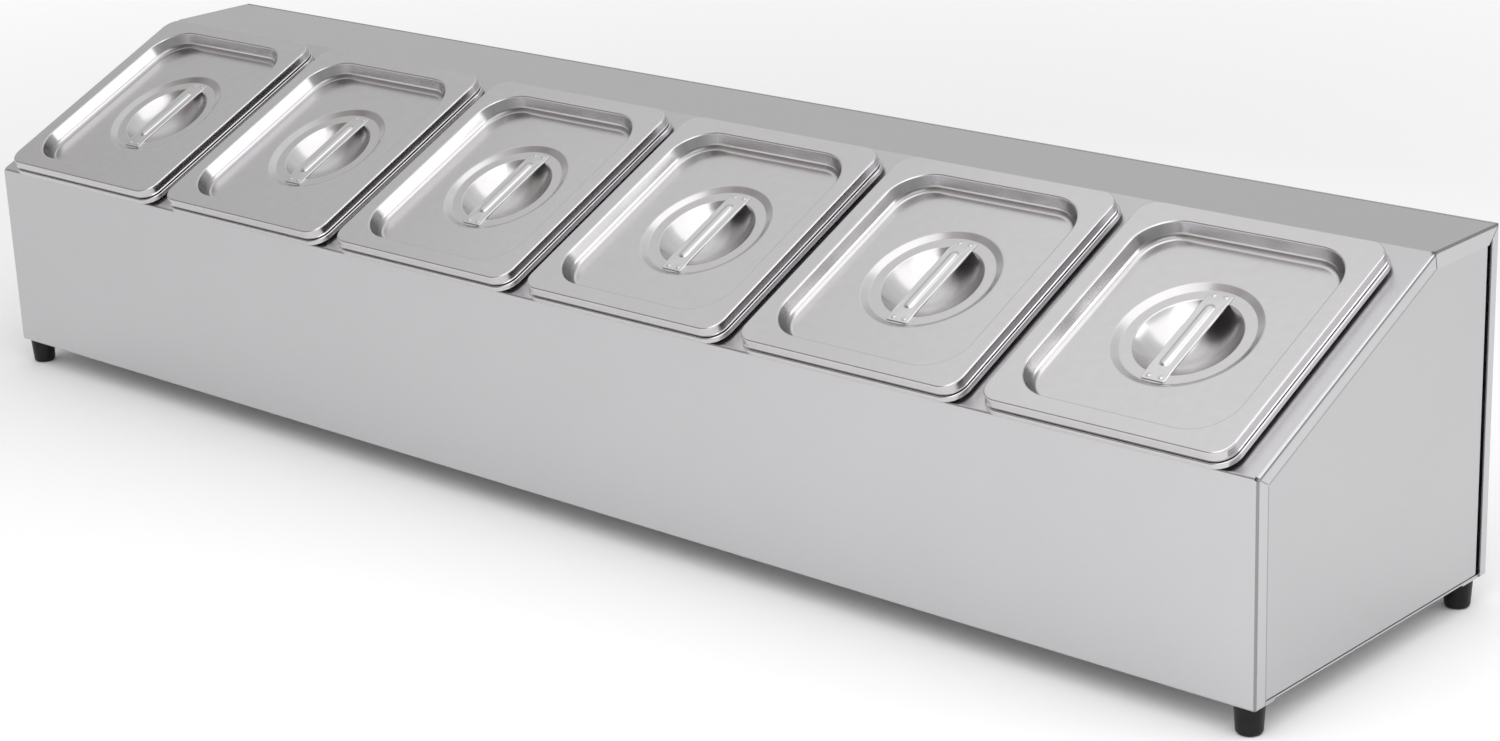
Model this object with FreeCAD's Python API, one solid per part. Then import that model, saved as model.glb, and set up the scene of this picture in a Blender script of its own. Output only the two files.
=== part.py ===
import FreeCAD
import Part
import math
import os

from FreeCAD import Vector

# Countertop condiment station: a folded sheet-steel case with a sloped deck carries a row of lift-out pans,
# and each pan has a lift-off lid with a strap handle across a pressed bowl.
# Millimetres. X runs along the case, Y from front to back, Z up. The case is drawn with its front face at
# y = 0 and its lower edge at z = 0, and is moved at the end to stand on its feet about the origin.

# Layout of the deck
pan_count = 6
deck_slope_deg = 25.0
pan_gap = 13.6
end_margin = 15.0
rim_front_overhang = 2.6
deck_rear_margin = 10.8
rear_shelf = 67.6
under_pan_clearance = 48.3

# Pan: the rim is the sixth-size kitchen standard, short side along the case
rim_width = 162.0
rim_length = 176.0
rim_corner_radius = 13.0
rim_flange = 12.0
rim_lip = 3.2
rim_bend_radius = 0.4
rim_shadow_gap = 2.0
pan_sheet = 0.8
pan_depth = 100.0
mouth_corner_radius = 27.0
mouth_bend_radius = 1.0
wall_taper_deg = 3.5
shoulder_depth = 22.0
shoulder_step = 2.5
pan_floor_radius = 12.0

# Lid: a skirted flange, a drafted well and a round bowl behind the handle
lid_sheet = 0.8
lid_setback = 1.2
lid_skirt = 7.0
lid_bend_radius = 1.0
well_clearance = 0.2
well_depth = 9.5
well_draft_deg = 20.0
well_bend_radius = 1.2
well_floor_radius = 4.5
ledge_width = 7.0
ledge_drop = 2.2
ledge_slope_width = 4.5
ledge_top_radius = 3.0
ledge_foot_radius = 2.0
bowl_radius = 31.0
bowl_depth = 14.0
bowl_lip_radius = 1.2

# Strap handle
strap_width = 15.5
strap_sheet = 1.2
strap_end_gap = 0.6
strap_corner_radius = 1.5
strap_edge_radius = 0.4
rib_width = 5.0
rib_height = 1.0
rib_length_share = 0.7
rib_corner_share = 0.45
rib_round_share = 0.8
weld_radius = 1.5
weld_height = 0.3
weld_side_share = 0.25
weld_end_distance = 3.0

# Case sheet
case_sheet = 1.0
case_bend_radius = 0.6
side_flange = 10.0
back_flange = 7.0
back_flange_gap = 2.2
mitre_slit = 0.6
relief_radius = 1.1
relief_depth = 2.4
collar_clearance = 0.5
panel_clearance = 0.2
return_margin = 1.5
rear_return = 18.0
end_rear_return = 12.0

# Feet and their fasteners
foot_height = 17.0
foot_top_radius = 8.5
foot_bottom_radius = 7.4
foot_edge_radius = 2.0
foot_end_inset = 10.0
foot_front_inset = 10.0
foot_rear_inset = 14.0
foot_bore_depth = 7.0
foot_screw_radius = 2.0
foot_screw_head_radius = 3.5
foot_screw_head_height = 2.4
foot_screw_tip = 1.0
foot_washer_radius = 3.7
foot_washer_thickness = 0.8
foot_bore_clearance = 0.2
foot_nut_radius = 4.04
foot_nut_height = 3.2
thread_clearance = 0.05
hole_clearance = 0.3
nut_clearance = 1.0

# Screws of the back panel
back_screw_count = 5
back_screw_radius = 1.75
back_screw_head_radius = 3.4
back_screw_head_height = 2.2
back_screw_length = 8.0
back_screw_end_inset = 60.0
head_edge_share = 0.4
recess_length_share = 1.1
recess_width_share = 0.28
recess_depth_share = 0.5

# Working values for cuts and for finding edges
overrun = 2.0
match = 0.001

# Sizes that follow from the ones above
slope = math.radians(deck_slope_deg)
mouth_width = rim_width - 2 * rim_flange
mouth_length = rim_length - 2 * rim_flange
pan_pitch = rim_width + pan_gap
case_length = pan_count * rim_width + (pan_count - 1) * pan_gap + 2 * end_margin
collar_height = rim_lip - pan_sheet + rim_shadow_gap
rim_top = collar_height + pan_sheet
lid_top = rim_top + lid_skirt
pan_centre_slope = rim_length / 2 - rim_front_overhang
deck_length = rim_length - rim_front_overhang + deck_rear_margin

wall_taper = math.tan(math.radians(wall_taper_deg))
floor_level = pan_sheet - pan_depth
floor_inset = shoulder_step - floor_level * wall_taper
pan_toe = rim_flange - rim_front_overhang + floor_inset - pan_sheet
pan_toe_drop = (pan_depth - rim_top) * math.cos(slope) - pan_toe * math.sin(slope)
front_height = 2 * case_sheet + under_pan_clearance + pan_toe_drop
deck_run = deck_length * math.cos(slope)
top_height = front_height + deck_length * math.sin(slope)
case_depth = deck_run + rear_shelf
wrap_depth = case_depth - case_sheet
case_edge_radius = case_sheet + case_bend_radius
front_return = foot_front_inset + foot_top_radius + return_margin
back_return = foot_rear_inset + foot_top_radius + return_margin
end_return = foot_end_inset + foot_top_radius + return_margin

lid_width = rim_width - 2 * lid_setback
lid_length = rim_length - 2 * lid_setback
lid_corner_radius = rim_corner_radius - lid_setback
well_inset = well_clearance + lid_sheet
well_width = mouth_width - 2 * well_inset
well_length = mouth_length - 2 * well_inset
well_corner_radius = mouth_corner_radius - well_inset
well_draft = math.tan(math.radians(well_draft_deg))
ledge_level = -well_depth - ledge_drop
ledge_radius = bowl_radius + ledge_width
ledge_outer_radius = ledge_radius + ledge_slope_width
bowl_sphere_radius = (bowl_radius ** 2 + bowl_depth ** 2) / (2 * bowl_depth)
bowl_bottom = ledge_level - bowl_depth
strap_half_length = math.sqrt(ledge_radius ** 2 - (strap_width / 2) ** 2) - strap_end_gap

opening_growth = pan_sheet + mouth_bend_radius + collar_clearance
opening_width = mouth_width + 2 * opening_growth
opening_length = mouth_length + 2 * opening_growth
opening_corner_radius = mouth_corner_radius + opening_growth

foot_bore_radius = foot_washer_radius + foot_bore_clearance
foot_seat = foot_bore_depth - foot_height
foot_stack_top = 3 * case_sheet
foot_hole_radius = foot_screw_radius + hole_clearance
foot_screw_top = foot_stack_top + foot_nut_height + foot_screw_tip
back_screw_level = top_height - rear_return / 2

# The lid's upper front bend reaches furthest forward, unless the rim's own bend does
lid_bend_outer = lid_bend_radius + lid_sheet
rim_bend_outer = rim_bend_radius + pan_sheet


def bend_front(edge_slope, edge_top, radius):
    """Furthest forward point of a rounded edge on the deck, as a y value."""
    across = (edge_slope + radius) * math.cos(slope)
    return across - (edge_top - radius) * math.sin(slope) - radius


lid_front = bend_front(lid_setback - rim_front_overhang, lid_top, lid_bend_outer)
rim_front = bend_front(-rim_front_overhang, rim_top, rim_bend_outer)
front_reach = min(lid_front, rim_front)
back_reach = case_depth + back_screw_head_height
origin_shift = Vector(0, -(front_reach + back_reach) / 2, foot_height)

pan_centres = [pan_pitch * (index - (pan_count - 1) / 2) for index in range(pan_count)]
foot_x = case_length / 2 - foot_end_inset
foot_rear_y = case_depth - foot_rear_inset
foot_places = {
    "front_left": (-foot_x, foot_front_inset),
    "front_right": (foot_x, foot_front_inset),
    "rear_left": (-foot_x, foot_rear_y),
    "rear_right": (foot_x, foot_rear_y),
}


def block(x_range, y_range, z_range):
    """Box between two limits on each axis."""
    corner = Vector(x_range[0], y_range[0], z_range[0])
    return Part.makeBox(x_range[1] - x_range[0], y_range[1] - y_range[0], z_range[1] - z_range[0], corner)


def rounded_wire(width, length, radius, level):
    """Rectangle with round corners, centred on the Z axis."""
    reach_x = width / 2 - radius
    reach_y = length / 2 - radius
    centres = [(reach_x, reach_y), (-reach_x, reach_y), (-reach_x, -reach_y), (reach_x, -reach_y)]
    arcs = []
    for quarter, (centre_x, centre_y) in enumerate(centres):
        centre = Vector(centre_x, centre_y, level)
        angles = [math.pi / 2 * (quarter + step / 2) for step in range(3)]
        arcs.append([centre + Vector(math.cos(angle), math.sin(angle), 0) * radius for angle in angles])
    edges = []
    for points, next_points in zip(arcs, arcs[1:] + arcs[:1]):
        edges.append(Part.Arc(*points).toShape())
        edges.append(Part.LineSegment(points[2], next_points[0]).toShape())
    return Part.Wire(edges)


def rounded_loft(sections):
    """Straight-walled solid through rounded rectangles given as (width, length, radius, level)."""
    return Part.makeLoft([rounded_wire(*section) for section in sections], True, True)


def rounded_prism(width, length, radius, bottom, top):
    """Upright solid on a rounded rectangle."""
    return rounded_loft([(width, length, radius, bottom), (width, length, radius, top)])


def inset_section(width, length, radius, inset, level):
    """Section of a rounded rectangle moved in by an inset on every side."""
    return (width - 2 * inset, length - 2 * inset, radius - inset, level)


def flat_edges(shape, level, reach):
    """Edges that lie at one level, within a reach of the centre plane."""
    found = []
    for edge in shape.Edges:
        box = edge.BoundBox
        at_level = abs(box.ZMin - level) < match and abs(box.ZMax - level) < match
        if at_level and max(abs(box.XMin), abs(box.XMax)) < reach:
            found.append(edge)
    return found


def circle_edges(shape, radius, level):
    """Round edges about the Z axis with one radius, at one level."""
    found = []
    for edge in shape.Edges:
        if not edge.Degenerated and isinstance(edge.Curve, Part.Circle):
            same_radius = abs(edge.Curve.Radius - radius) < match
            if same_radius and abs(edge.Curve.Center.z - level) < match:
                found.append(edge)
    return found


def long_edges(shape, direction, points):
    """Straight edges along a direction whose line passes through one of the points."""
    found = []
    for edge in shape.Edges:
        if isinstance(edge.Curve, Part.Line) and abs(abs(edge.Curve.Direction.dot(direction)) - 1) < match:
            start = edge.Vertexes[0].Point
            for point in points:
                if (start - point).cross(direction).Length < match:
                    found.append(edge)
    return found


def turned(points, curve=None):
    """Solid of revolution about Z from (radius, level) points, with an optional closing arc."""
    corners = [Vector(radius, 0, level) for radius, level in points]
    edges = [Part.LineSegment(a, b).toShape() for a, b in zip(corners, corners[1:])]
    end = corners[-1]
    if curve is not None:
        middle, end = [Vector(radius, 0, level) for radius, level in curve]
        edges.append(Part.Arc(corners[-1], middle, end).toShape())
    edges.append(Part.LineSegment(end, corners[0]).toShape())
    return Part.Face(Part.Wire(edges)).revolve(Vector(0, 0, 0), Vector(0, 0, 1), 360)


def end_profile(points, x_range):
    """Solid on an outline in the end plane, given as (y, z) points, between two x limits."""
    corners = [Vector(x_range[0], y, z) for y, z in points]
    face = Part.Face(Part.makePolygon(corners + corners[:1]))
    return face.extrude(Vector(x_range[1] - x_range[0], 0, 0))


def upright_cylinder(radius, place, bottom, top):
    """Cylinder along Z at an (x, y) place."""
    return Part.makeCylinder(radius, top - bottom, Vector(place[0], place[1], bottom))


def on_deck(shape, x, slope_distance, height):
    """Copy of a shape, moved from its own frame to a place on the sloped deck."""
    deck = FreeCAD.Placement(Vector(0, 0, front_height), FreeCAD.Rotation(Vector(1, 0, 0), deck_slope_deg))
    moved = shape.copy()
    moved.Placement = deck.multiply(FreeCAD.Placement(Vector(x, slope_distance, height), FreeCAD.Rotation()))
    return moved


def skirted_flange(width, length, radius, height, sheet, bend_radius):
    """Flat flange with its edge turned down, top at level zero."""
    outer = rounded_prism(width, length, radius, -height, 0)
    outer = outer.makeFillet(bend_radius + sheet, flat_edges(outer, 0, width))
    inner = rounded_prism(width - 2 * sheet, length - 2 * sheet, radius - sheet, -height, -sheet)
    inner = inner.makeFillet(bend_radius, flat_edges(inner, -sheet, width))
    return outer.cut(inner)


def make_pan():
    """Deep pan with a stacking shoulder, rim top at level zero."""
    shoulder_inset = shoulder_depth * wall_taper
    step_level = -shoulder_depth - shoulder_step
    stages = [
        (-overrun * wall_taper, overrun),
        (shoulder_inset, -shoulder_depth),
        (shoulder_inset + shoulder_step, step_level),
        (floor_inset, floor_level),
    ]
    mouth = (mouth_width, mouth_length, mouth_corner_radius)
    cavity = rounded_loft([inset_section(*mouth, inset, level) for inset, level in stages])
    cavity = cavity.makeFillet(pan_floor_radius, flat_edges(cavity, floor_level, mouth_width))
    skin_stages = [(pan_sheet / 2 * wall_taper, -pan_sheet / 2)]
    skin_stages += [(inset, level - pan_sheet) for inset, level in stages[1:]]
    skin = rounded_loft([inset_section(*mouth, inset - pan_sheet, level) for inset, level in skin_stages])
    underside = flat_edges(skin, floor_level - pan_sheet, mouth_width)
    skin = skin.makeFillet(pan_floor_radius + pan_sheet, underside)
    rim = skirted_flange(rim_width, rim_length, rim_corner_radius, rim_lip, pan_sheet, rim_bend_radius)
    pan = rim.fuse(skin).cut(cavity)
    reach = (mouth_width + rim_flange) / 2
    pan = pan.makeFillet(mouth_bend_radius + pan_sheet, flat_edges(pan, 0, reach))
    return pan.makeFillet(mouth_bend_radius, flat_edges(pan, -pan_sheet, reach))


def bowl_solid(drop, top):
    """Turned solid of the ledge and bowl, lowered by a drop and closed at a height over the well floor."""
    sphere_radius = bowl_sphere_radius + drop
    sphere_centre = bowl_bottom + bowl_sphere_radius
    slope_rate = ledge_slope_width / ledge_drop
    mouth_level = ledge_level - drop
    mouth_radius = math.sqrt(sphere_radius ** 2 - (sphere_centre - mouth_level) ** 2)
    half_angle = math.asin(mouth_radius / sphere_radius) / 2
    middle = (sphere_radius * math.sin(half_angle), sphere_centre - sphere_radius * math.cos(half_angle))
    points = [
        (0, top - well_depth),
        (ledge_outer_radius + (top + drop) * slope_rate, top - well_depth),
        (ledge_radius, mouth_level),
        (mouth_radius, mouth_level),
    ]
    return turned(points, (middle, (0, sphere_centre - sphere_radius)))


def make_lid():
    """Pressed lid, flange top at level zero."""
    well = (well_width, well_length, well_corner_radius)
    stages = [(-overrun * well_draft, overrun), (well_depth * well_draft, -well_depth)]
    cavity = rounded_loft([inset_section(*well, inset, level) for inset, level in stages])
    cavity = cavity.makeFillet(well_floor_radius, flat_edges(cavity, -well_depth, well_width))
    underside = -well_depth - lid_sheet
    skin_stages = [(lid_sheet / 2 * well_draft, -lid_sheet / 2), (well_depth * well_draft, underside)]
    skin = rounded_loft([inset_section(*well, inset - lid_sheet, level) for inset, level in skin_stages])
    skin = skin.makeFillet(well_floor_radius + lid_sheet, flat_edges(skin, underside, well_width))
    flange = skirted_flange(lid_width, lid_length, lid_corner_radius, lid_skirt, lid_sheet, lid_bend_radius)
    lid = flange.fuse([skin, bowl_solid(lid_sheet, -lid_sheet / 2)])
    lid = lid.cut(cavity).cut(bowl_solid(0, overrun))
    reach = (well_width + lid_width) / 4
    lid = lid.makeFillet(well_bend_radius, flat_edges(lid, 0, reach))
    lid = lid.makeFillet(bowl_lip_radius, circle_edges(lid, bowl_radius, ledge_level))
    lid = lid.makeFillet(ledge_foot_radius, circle_edges(lid, ledge_radius, ledge_level))
    return lid.makeFillet(ledge_top_radius, circle_edges(lid, ledge_outer_radius, -well_depth))


def make_handle():
    """Strap with a raised rib and weld bumps, in the lid's own frame."""
    strap_top = ledge_level + strap_sheet
    strap = rounded_prism(strap_width, 2 * strap_half_length, strap_corner_radius, ledge_level, strap_top)
    strap = strap.makeFillet(strap_edge_radius, flat_edges(strap, strap_top, strap_width))
    rib_length = 2 * strap_half_length * rib_length_share
    rib_top = strap_top + rib_height
    rib = rounded_prism(rib_width, rib_length, rib_width * rib_corner_share, ledge_level, rib_top)
    rib = rib.makeFillet(rib_height * rib_round_share, flat_edges(rib, rib_top, rib_width))
    bumps = []
    for side in (-1, 1):
        for end in (-1, 1):
            place = (side * strap_width * weld_side_share, end * (strap_half_length - weld_end_distance))
            bumps.append(upright_cylinder(weld_radius, place, ledge_level, strap_top + weld_height))
    return strap.fuse([rib] + bumps)


def fold_points(offset):
    """The front and upper folds of the case outline, moved in by an offset, as (y, z) points."""
    rise = math.tan(slope)
    drop = offset / math.cos(slope)
    front_fold = (offset, front_height + offset * rise - drop)
    upper_level = top_height - offset
    upper_fold = ((upper_level - front_height + drop) / rise, upper_level)
    return [front_fold, upper_fold]


def wrap_outline(offset):
    """Closed outline of the front, deck, top, rear and bottom sheets, moved in by an offset."""
    front_fold, upper_fold = fold_points(offset)
    rear = wrap_depth - offset
    return [(offset, offset), front_fold, upper_fold, (rear, top_height - offset), (rear, offset)]


def mitre_cut(outer, inner, x_range):
    """Thin slit from an outer corner of a side flange to its inner corner."""
    run = Vector(inner[0] - outer[0], inner[1] - outer[1], 0)
    along = run / run.Length
    side = Vector(-along.y, along.x, 0) * (mitre_slit / 2)
    start = Vector(outer[0], outer[1], 0) - along * overrun
    end = Vector(inner[0], inner[1], 0) + along * mitre_slit
    corners = [start + side, end + side, end - side, start - side]
    return end_profile([(corner.x, corner.y) for corner in corners], x_range)


def make_wrap():
    """Front panel, sloped deck and flat top, folded from one sheet, with flanges round both ends."""
    half = case_length / 2
    outline = wrap_outline(0)
    outer = end_profile(outline, (-half, half))
    folds = [Vector(-half, y, z) for y, z in outline]
    outer = outer.makeFillet(case_edge_radius, long_edges(outer, Vector(1, 0, 0), folds))
    end_edges = [edge for edge in outer.Edges if abs(edge.BoundBox.XMax - edge.BoundBox.XMin) < match]
    outer = outer.makeFillet(case_edge_radius, end_edges)
    wrap = outer.cut(end_profile(wrap_outline(case_sheet), (case_sheet - half, half - case_sheet)))

    # Openings at the bottom and rear leave the front return and the rear return
    clear = case_edge_radius + case_sheet
    wide = (-half - overrun, half + overrun)
    wrap = wrap.cut(block(wide, (front_return, case_depth), (-overrun, clear)))
    wrap = wrap.cut(block(wide, (wrap_depth - clear, case_depth), (-overrun, top_height - rear_return)))

    # Each end is open inside its flanges, which are mitred at the folds and against the back panel
    inner_folds = fold_points(side_flange)
    mitre_end = case_depth - side_flange - mitre_slit
    past_back = case_depth + overrun
    window = [(side_flange, -overrun)] + inner_folds
    window += [(mitre_end, top_height - side_flange), (past_back - mitre_slit, top_height + overrun)]
    window += [(past_back, top_height + overrun), (past_back, -overrun)]
    for side in (-1, 1):
        ends = sorted((side * (half - case_sheet), side * (half + overrun)))
        wrap = wrap.cut(end_profile(window, ends))
        outward = Vector(side, 0, 0)
        for outer_fold, inner_fold in zip(fold_points(0), inner_folds):
            wrap = wrap.cut(mitre_cut(outer_fold, inner_fold, ends))
        for y, z in fold_points(case_sheet / 2):
            start = Vector(side * (half - relief_depth), y, z)
            wrap = wrap.cut(Part.makeCylinder(relief_radius, relief_depth + overrun, start, outward))

    # Each pan opening has a collar that carries the rim
    opening = (opening_width, opening_length, opening_corner_radius)
    collar = rounded_prism(*inset_section(*opening, -case_sheet, 0)[:3], -case_sheet, collar_height)
    hole = rounded_prism(*opening, -case_sheet - overrun, collar_height + overrun)
    wrap = wrap.fuse([on_deck(collar, x, pan_centre_slope, 0) for x in pan_centres])
    wrap = wrap.cut([on_deck(hole, x, pan_centre_slope, 0) for x in pan_centres])

    # Holes for the front feet and the back panel's screws
    front_places = [place for name, place in foot_places.items() if name.startswith("front")]
    wrap = wrap.cut([upright_cylinder(foot_hole_radius, place, -overrun, clear) for place in front_places])
    thread_radius = back_screw_radius + thread_clearance
    wrap = wrap.cut(back_screw_holes(thread_radius, wrap_depth - case_sheet, wrap_depth))
    return wrap.removeSplitter()


def back_screw_places():
    """X places of the screws along the top of the back panel."""
    span = case_length - 2 * back_screw_end_inset
    return [span * (index / (back_screw_count - 1)) - span / 2 for index in range(back_screw_count)]


def back_screw_holes(radius, front, back):
    """Cylinders along Y at each screw of the back panel, run past both faces of a sheet."""
    length = back - front + 2 * overrun
    holes = []
    for x in back_screw_places():
        start = Vector(x, front - overrun, back_screw_level)
        holes.append(Part.makeCylinder(radius, length, start, Vector(0, 1, 0)))
    return holes


def make_end_panel(side):
    """End panel behind the wrap's flanges, with a bottom return and a rear return."""
    offset = case_sheet + panel_clearance
    outer_x = case_length / 2 - case_sheet
    inner_x = outer_x - case_sheet
    bottom = 2 * case_sheet
    rear = case_depth - back_flange - back_flange_gap
    top = top_height - offset
    outline = [(offset, bottom)] + fold_points(offset) + [(rear, top), (rear, bottom)]
    panel = end_profile(outline, (case_length / 2 - end_return, outer_x))
    corner = [Vector(outer_x, rear, bottom)]
    bends = []
    for direction in (Vector(1, 0, 0), Vector(0, 1, 0), Vector(0, 0, 1)):
        bends += long_edges(panel, direction, corner)
    panel = panel.makeFillet(case_edge_radius, bends)
    floor = bottom + case_sheet
    above = top + overrun
    panel = panel.cut(block((0, inner_x), (0, rear - case_sheet), (floor, above)))
    panel = panel.cut(block((0, outer_x - end_rear_return), (0, rear + overrun), (floor, above)))

    # The rear return is notched over the rear foot's nut
    notch_reach = foot_nut_radius + nut_clearance
    notch_x = (outer_x - end_rear_return - overrun, foot_x + notch_reach)
    notch_z = (foot_stack_top, foot_screw_top + nut_clearance)
    panel = panel.cut(block(notch_x, (rear - case_sheet - overrun, rear + overrun), notch_z))
    feet = [place for name, place in foot_places.items() if name.endswith("right")]
    panel = panel.cut([upright_cylinder(foot_hole_radius, place, 0, notch_z[1]) for place in feet])
    panel = panel.removeSplitter()
    return panel if side > 0 else panel.mirror(Vector(0, 0, 0), Vector(1, 0, 0))


def make_back_panel():
    """Shallow tray with side flanges mitred at the top and a bottom return over the rear feet."""
    half = case_length / 2
    front = case_depth - back_flange
    tray = block((-half, half), (front, case_depth), (0, top_height))
    corners = [Vector(-half, case_depth, 0), Vector(half, case_depth, 0)]
    bends = long_edges(tray, Vector(0, 0, 1), corners)
    bends += long_edges(tray, Vector(0, 1, 0), corners)
    bends += long_edges(tray, Vector(1, 0, 0), corners[:1])
    tray = tray.makeFillet(case_edge_radius, bends)
    inside = (case_sheet - half, half - case_sheet)
    tray = tray.cut(block(inside, (front - overrun, wrap_depth), (case_sheet, top_height + overrun)))
    return_x = (inside[0] + panel_clearance, inside[1] - panel_clearance)
    tray = tray.fuse(block(return_x, (case_depth - back_return, wrap_depth), (0, case_sheet)))
    reach = back_flange + overrun
    mitre = [(case_depth, top_height), (case_depth - reach, top_height - reach)]
    mitre += [(case_depth - reach, top_height + overrun), (case_depth, top_height + overrun)]
    for side in (-1, 1):
        ends = sorted((side * (half - case_sheet), side * (half + overrun)))
        tray = tray.cut(end_profile(mitre, ends))
    tray = tray.cut(back_screw_holes(back_screw_radius + hole_clearance, wrap_depth, case_depth))
    rear_places = [place for name, place in foot_places.items() if name.startswith("rear")]
    tray = tray.cut([upright_cylinder(foot_hole_radius, place, -overrun, overrun) for place in rear_places])
    return tray.removeSplitter()


def make_bottom_plate():
    """Flat plate that lies on the front and rear returns."""
    half = case_length / 2 - case_sheet - panel_clearance
    front = case_sheet + panel_clearance
    plate = block((-half, half), (front, case_depth - front), (case_sheet, 2 * case_sheet))
    holes = [upright_cylinder(foot_hole_radius, place, 0, foot_stack_top) for place in foot_places.values()]
    return plate.cut(holes)


def make_foot(place):
    """Tapered round foot, bored from below for its screw."""
    body = turned([(0, 0), (foot_top_radius, 0), (foot_bottom_radius, -foot_height), (0, -foot_height)])
    body = body.makeFillet(foot_edge_radius, circle_edges(body, foot_bottom_radius, -foot_height))
    body = body.cut(upright_cylinder(foot_bore_radius, (0, 0), -foot_height - overrun, foot_seat))
    body = body.cut(upright_cylinder(foot_hole_radius, (0, 0), -foot_height, overrun))
    return body.translate(Vector(place[0], place[1], 0))


def pan_head(radius, height):
    """Round screw head with a cross recess, seated at level zero and facing down."""
    head = upright_cylinder(radius, (0, 0), -height, 0)
    head = head.makeFillet(height * head_edge_share, circle_edges(head, radius, -height))
    arm = radius * recess_length_share / 2
    half_width = radius * recess_width_share / 2
    recess_z = (-height - overrun, height * recess_depth_share - height)
    head = head.cut(block((-arm, arm), (-half_width, half_width), recess_z))
    return head.cut(block((-half_width, half_width), (-arm, arm), recess_z))


def make_foot_screw(place):
    """Screw up through a foot, its washer and the sheets above it."""
    head_seat = foot_seat - foot_washer_thickness
    shank = upright_cylinder(foot_screw_radius, (0, 0), 0, foot_screw_top - head_seat)
    screw = pan_head(foot_screw_head_radius, foot_screw_head_height).fuse(shank)
    return screw.translate(Vector(place[0], place[1], head_seat))


def make_foot_washer(place):
    """Flat washer in a foot's bore."""
    bottom = foot_seat - foot_washer_thickness
    washer = upright_cylinder(foot_washer_radius, place, bottom, foot_seat)
    return washer.cut(upright_cylinder(foot_hole_radius, place, bottom - overrun, foot_seat + overrun))


def make_foot_nut(place):
    """Hexagon nut on the sheets over a foot."""
    angles = [math.pi / 3 * corner for corner in range(7)]
    corners = [Vector(math.cos(angle), math.sin(angle), 0) * foot_nut_radius for angle in angles]
    corners = [corner + Vector(place[0], place[1], foot_stack_top) for corner in corners]
    nut = Part.Face(Part.makePolygon(corners)).extrude(Vector(0, 0, foot_nut_height))
    bore = foot_screw_radius + thread_clearance
    return nut.cut(upright_cylinder(bore, place, foot_stack_top - overrun, foot_screw_top + overrun))


def make_back_screw(x):
    """Screw through the back panel into the wrap's rear return."""
    screw = pan_head(back_screw_head_radius, back_screw_head_height)
    screw = screw.fuse(upright_cylinder(back_screw_radius, (0, 0), 0, back_screw_length))
    facing_back = FreeCAD.Rotation(Vector(1, 0, 0), 90)
    screw.Placement = FreeCAD.Placement(Vector(x, case_depth, back_screw_level), facing_back)
    return screw


def export(name, shapes):
    """Write one node, moved to the part's own origin."""
    placed = [shape.translated(origin_shift) for shape in shapes]
    whole = placed[0] if len(placed) == 1 else Part.makeCompound(placed)
    whole.exportStep(os.path.join("parts", name + ".step"))
    solids = whole.Solids
    print(name, len(solids), "solids", "valid" if whole.isValid() else "NOT VALID", round(whole.Volume, 1))


def main():
    """Build every piece and write it out."""
    os.makedirs("parts", exist_ok=True)
    export("front_deck_panel", [make_wrap()])
    export("left_end_panel", [make_end_panel(-1)])
    export("right_end_panel", [make_end_panel(1)])
    export("back_panel", [make_back_panel()])
    export("bottom_plate", [make_bottom_plate()])
    export("back_panel_screws", [make_back_screw(x) for x in back_screw_places()])
    for name, place in foot_places.items():
        export("foot_" + name, [make_foot(place)])
    export("foot_screws", [make_foot_screw(place) for place in foot_places.values()])
    export("foot_washers", [make_foot_washer(place) for place in foot_places.values()])
    export("foot_nuts", [make_foot_nut(place) for place in foot_places.values()])
    pan = make_pan()
    lid = make_lid()
    handle = make_handle()
    for number, x in enumerate(pan_centres, start=1):
        export("pan_%d" % number, [on_deck(pan, x, pan_centre_slope, rim_top)])
        export("lid_%d" % number, [on_deck(lid, x, pan_centre_slope, lid_top)])
        export("lid_handle_%d" % number, [on_deck(handle, x, pan_centre_slope, lid_top)])


main()
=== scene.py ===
"""Looks for a countertop condiment station: folded steel case, six lift-out pans, lids and strap handles."""

import logging
import math
from dataclasses import dataclass, field
from enum import Enum
from functools import partial, reduce
from typing import Sequence

import bmesh
import bpy
from mathutils import Matrix, Vector


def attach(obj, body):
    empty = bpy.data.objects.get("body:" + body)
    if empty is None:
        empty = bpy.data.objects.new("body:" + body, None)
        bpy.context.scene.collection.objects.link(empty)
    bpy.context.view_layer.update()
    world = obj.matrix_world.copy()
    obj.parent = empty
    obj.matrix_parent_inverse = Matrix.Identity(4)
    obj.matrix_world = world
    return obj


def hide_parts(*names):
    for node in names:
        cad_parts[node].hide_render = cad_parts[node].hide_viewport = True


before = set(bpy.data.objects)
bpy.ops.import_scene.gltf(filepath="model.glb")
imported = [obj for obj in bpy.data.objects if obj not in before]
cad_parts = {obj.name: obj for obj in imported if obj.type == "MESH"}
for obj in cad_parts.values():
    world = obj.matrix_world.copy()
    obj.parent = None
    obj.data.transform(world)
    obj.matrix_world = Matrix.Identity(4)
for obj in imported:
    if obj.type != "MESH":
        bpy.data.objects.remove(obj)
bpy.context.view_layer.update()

log = logging.getLogger("condiment_station")

MM = 0.001
IMAGE_WIDTH = 1500
NOISE_RANGE = (0.3, 0.7)
WHITE = (1.0, 1.0, 1.0)
MIX_FIRST, MIX_SECOND, MIX_RESULT = 6, 7, 2
SHARP_ANGLE = math.radians(35.0)
MERGE_DISTANCE = 1e-7
SLIVER_LENGTH = 1e-8
CENTRE_RADIUS = 1e-6
SEAM_RUN = 4.0

Point2 = tuple[float, float]
Corner = tuple[float, float, float]
Place = tuple[float, float, float]
Tone = tuple[float, float, float]
Ring = list[Vector]
Socket = bpy.types.NodeSocket
Tree = bpy.types.NodeTree
Material = bpy.types.Material
MeshData = bpy.types.Mesh
BuiltMesh = bmesh.types.BMesh
Piece = bpy.types.Object


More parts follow.
